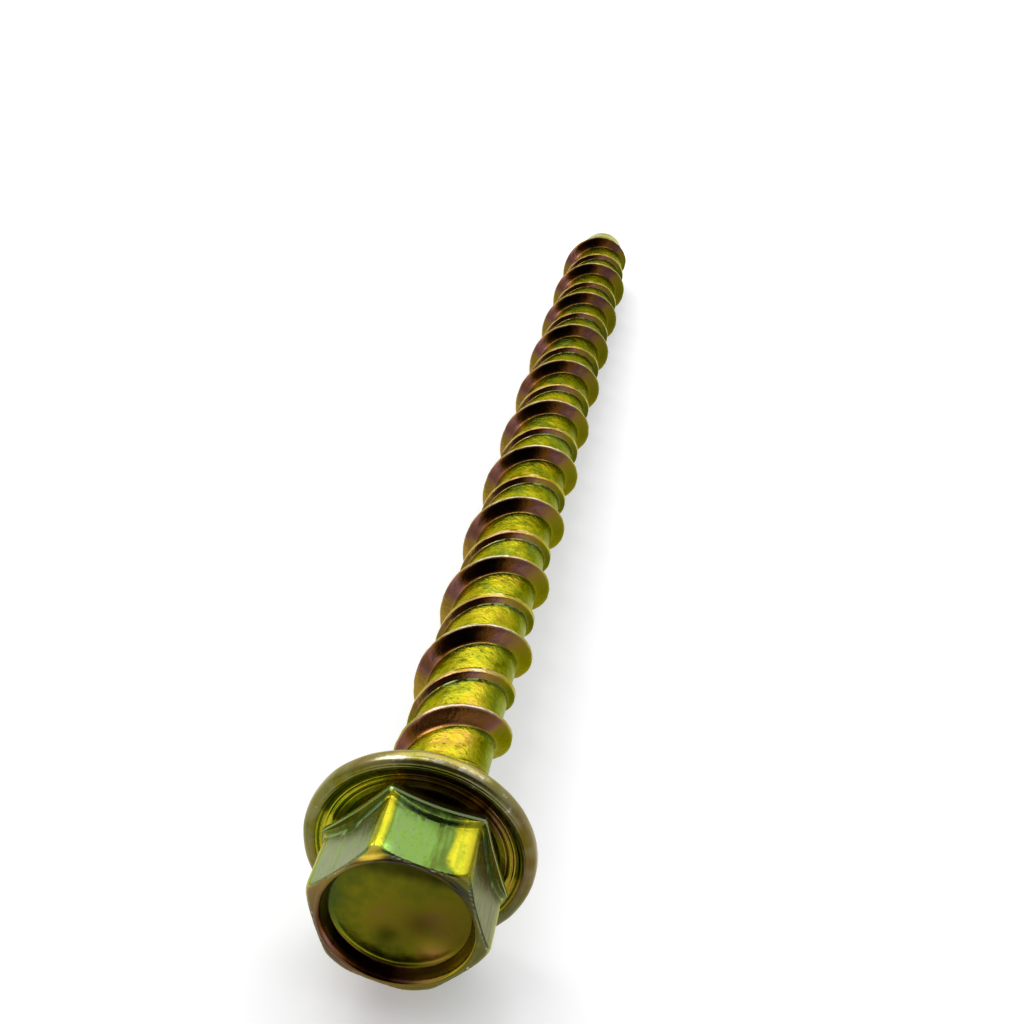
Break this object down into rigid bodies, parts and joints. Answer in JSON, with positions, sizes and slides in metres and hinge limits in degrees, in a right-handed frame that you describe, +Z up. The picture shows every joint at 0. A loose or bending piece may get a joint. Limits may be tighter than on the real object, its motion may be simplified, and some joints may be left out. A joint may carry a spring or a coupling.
{
  "type": "concrete screw",
  "caption": "Concrete screw with a hexagon washer head, a high-low two-start thread and a flat tip, lying on its side.",
  "frame": {"origin": "centre of the bounding box at the floor it lies on", "axes": "+Y along the screw from head to tip, dipping 1.9 degrees towards the tip; +Z up; the head faces -Y"},
  "size_m": [0.0118, 0.0962, 0.0117],
  "materials": {
    "yellow_zinc": "zinc plated, yellow iridescent passivation over steel, semi-gloss"
  },
  "bodies": {
    "root": {"concrete_screw": "yellow_zinc"}
  },
  "joints": []
}
